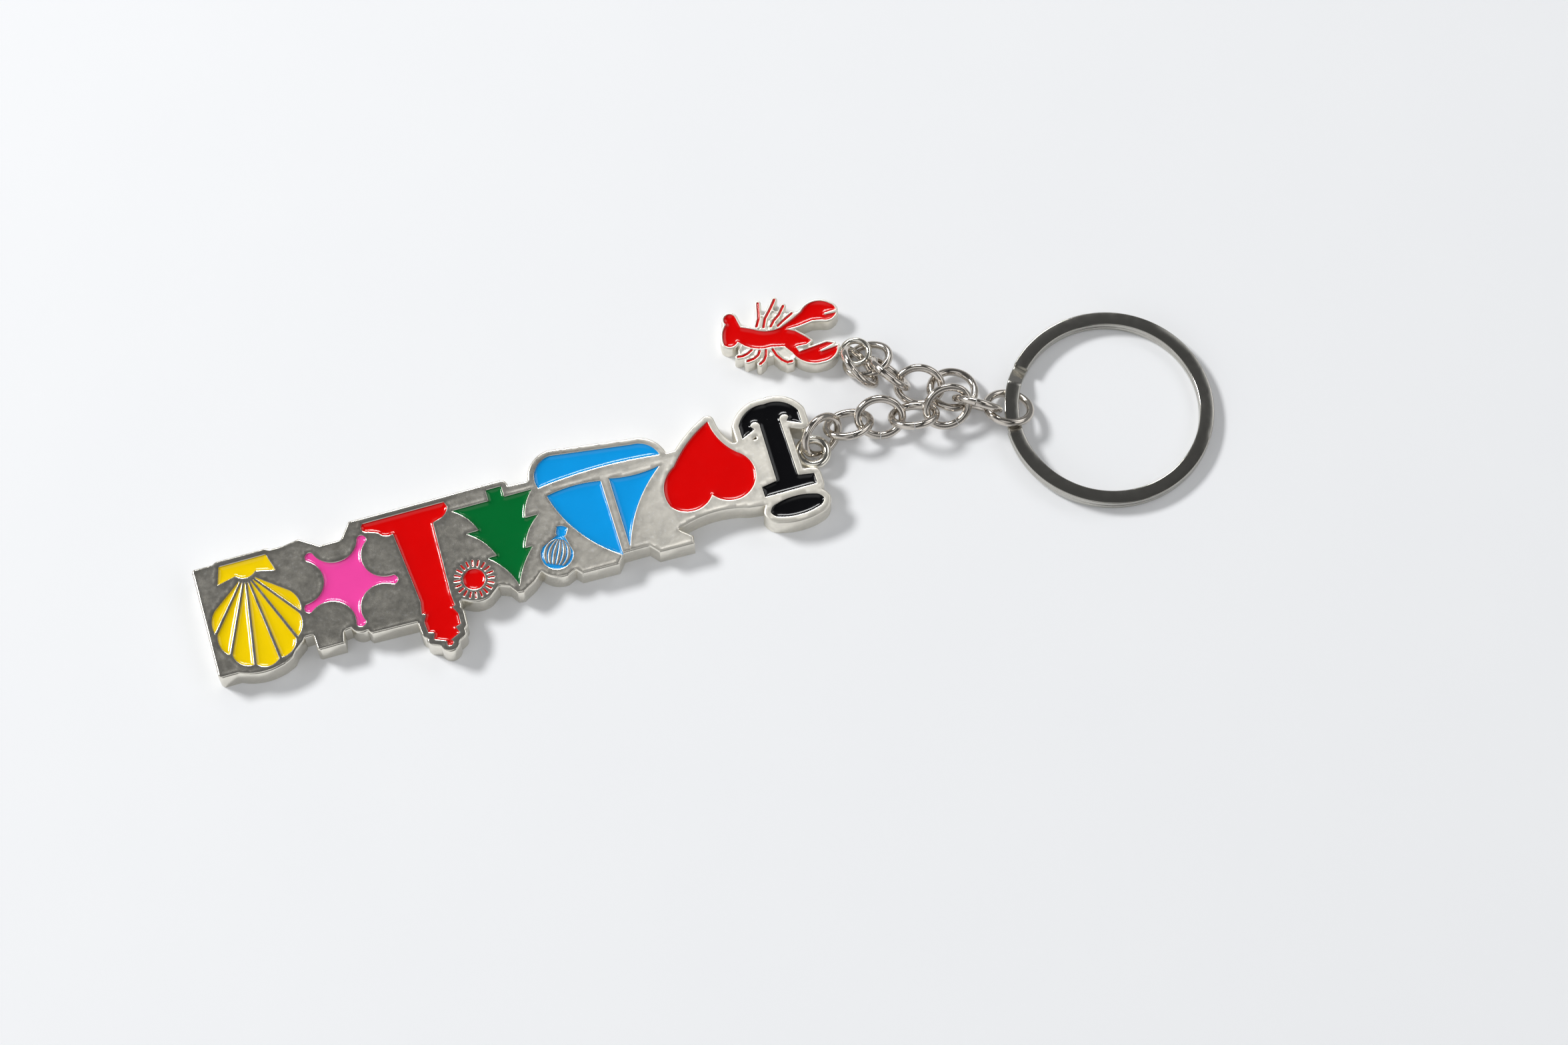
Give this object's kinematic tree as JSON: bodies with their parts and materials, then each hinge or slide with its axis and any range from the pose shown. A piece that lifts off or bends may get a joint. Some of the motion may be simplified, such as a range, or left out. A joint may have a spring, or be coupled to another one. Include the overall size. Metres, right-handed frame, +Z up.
{
  "type": "keychain",
  "caption": "Split-ring keychain with two short link chains carrying a cast plate of enamelled seaside motifs and a small enamelled lobster charm.",
  "frame": {"origin": "centre of the key ring's hole, on the plane the keychain rests on", "axes": "+X from the key ring along the plate charm to its far end, +Y towards the tops of the ornaments, +Z up out of the resting plane, towards the enamelled faces"},
  "size_m": [0.1559, 0.048, 0.0066],
  "materials": {
    "nickel_casting": "nickel-plated zinc casting, tumbled",
    "nickel_wire": "nickel-plated steel wire, bright",
    "ring_strip": "nickel-plated spring steel strip, bright",
    "black_enamel": "gloss soft enamel",
    "red_enamel": "gloss soft enamel",
    "blue_enamel": "gloss soft enamel",
    "green_enamel": "gloss soft enamel",
    "pink_enamel": "gloss soft enamel",
    "yellow_enamel": "gloss soft enamel"
  },
  "bodies": {
    "key_ring": {"key_ring": "ring_strip"},
    "ring_link": {"ring_link": "nickel_wire"},
    "hub_link": {"hub_link": "nickel_wire"},
    "plate_link_1": {"plate_link_1": "nickel_wire"},
    "plate_link_2": {"plate_link_2": "nickel_wire"},
    "plate_link_3": {"plate_link_3": "nickel_wire"},
    "plate_link_4": {"plate_link_4": "nickel_wire"},
    "plate_link_5": {"plate_link_5": "nickel_wire"},
    "charm_plate": {"charm_plate": "nickel_casting", "enamel_oval": "black_enamel", "enamel_anchor": "black_enamel", "enamel_heart": "red_enamel", "enamel_sails": "blue_enamel", "enamel_hull": "blue_enamel", "enamel_balloon": "blue_enamel", "enamel_fir_tree": "green_enamel", "enamel_sun": "red_enamel", "enamel_lighthouse": "red_enamel", "enamel_starfish": "pink_enamel", "enamel_shell": "yellow_enamel"},
    "charm_link_1": {"charm_link_1": "nickel_wire"},
    "charm_link_2": {"charm_link_2": "nickel_wire"},
    "charm_link_3": {"charm_link_3": "nickel_wire"},
    "charm_link_4": {"charm_link_4": "nickel_wire"},
    "charm_link_5": {"charm_link_5": "nickel_wire"},
    "lobster_charm": {"lobster_charm": "nickel_casting", "enamel_lobster": "red_enamel", "enamel_lobster_legs": "red_enamel"}
  },
  "joints": [
    {"name": "ring_link_swing", "type": "hinge", "parent": "key_ring", "child": "ring_link", "pos_m": [0.01321, -0.00675, 0.0008], "axis": [0.8798, -0.4399, 0.18], "range_deg": [0, 47]},
    {"name": "hub_link_swing", "type": "hinge", "parent": "ring_link", "child": "hub_link", "pos_m": [0.01782, -0.00317, 0.00351], "axis": [-0.0603, -0.874, -0.4822], "range_deg": [-42, 47]},
    {"name": "plate_link_1_swing", "type": "hinge", "parent": "hub_link", "child": "plate_link_1", "pos_m": [0.02188, -0.00672, 0.00488], "axis": [-0.2394, 0.5386, 0.8079], "range_deg": [-9, 47]},
    {"name": "plate_link_2_swing", "type": "hinge", "parent": "plate_link_1", "child": "plate_link_2", "pos_m": [0.02595, -0.00552, 0.00381], "axis": [-0.0603, -0.874, -0.4822], "range_deg": [-47, 47]},
    {"name": "plate_link_3_swing", "type": "hinge", "parent": "plate_link_2", "child": "plate_link_3", "pos_m": [0.0316, -0.00835, 0.00231], "axis": [0.2191, 0.7471, 0.6276], "range_deg": [-47, 47]},
    {"name": "plate_link_4_swing", "type": "hinge", "parent": "plate_link_3", "child": "plate_link_4", "pos_m": [0.03609, -0.00706, 0.00306], "axis": [0.0603, 0.874, 0.4822], "range_deg": [-47, 47]},
    {"name": "plate_link_5_swing", "type": "hinge", "parent": "plate_link_4", "child": "plate_link_5", "pos_m": [0.04047, -0.00902, 0.0023], "axis": [-0.189, -0.547, 0.8155], "range_deg": [-47, 45]},
    {"name": "charm_plate_swing", "type": "hinge", "parent": "plate_link_5", "child": "charm_plate", "pos_m": [0.04368, -0.00569, 0.00088], "axis": [-0.6678, -0.0997, -0.7376], "range_deg": [-47, 10]},
    {"name": "charm_link_1_swing", "type": "hinge", "parent": "hub_link", "child": "charm_link_1", "pos_m": [0.01979, -0.00697, 0.00223], "axis": [0.0603, 0.874, 0.4822], "range_deg": [-4, 47]},
    {"name": "charm_link_2_swing", "type": "hinge", "parent": "charm_link_1", "child": "charm_link_2", "pos_m": [0.02536, -0.00943, 0.00252], "axis": [0.3796, 0.8391, 0.3896], "range_deg": [-47, 37]},
    {"name": "charm_link_3_swing", "type": "hinge", "parent": "charm_link_2", "child": "charm_link_3", "pos_m": [0.0285, -0.01221, 0.00199], "axis": [0.2191, 0.7471, 0.6276], "range_deg": [-47, 47]},
    {"name": "charm_link_4_swing", "type": "hinge", "parent": "charm_link_3", "child": "charm_link_4", "pos_m": [0.03032, -0.0166, 0.00252], "axis": [-0.8804, -0.4202, -0.2201], "range_deg": [-47, 47]},
    {"name": "charm_link_5_swing", "type": "hinge", "parent": "charm_link_4", "child": "charm_link_5", "pos_m": [0.03432, -0.0196, 0.00174], "axis": [-0.2595, -0.2994, -0.9182], "range_deg": [-4, 42]},
    {"name": "lobster_charm_swing", "type": "hinge", "parent": "charm_link_5", "child": "lobster_charm", "pos_m": [0.03525, -0.02006, 0.00279], "axis": [-0.1606, 0.0803, 0.9837], "range_deg": [-34, 18]}
  ]
}
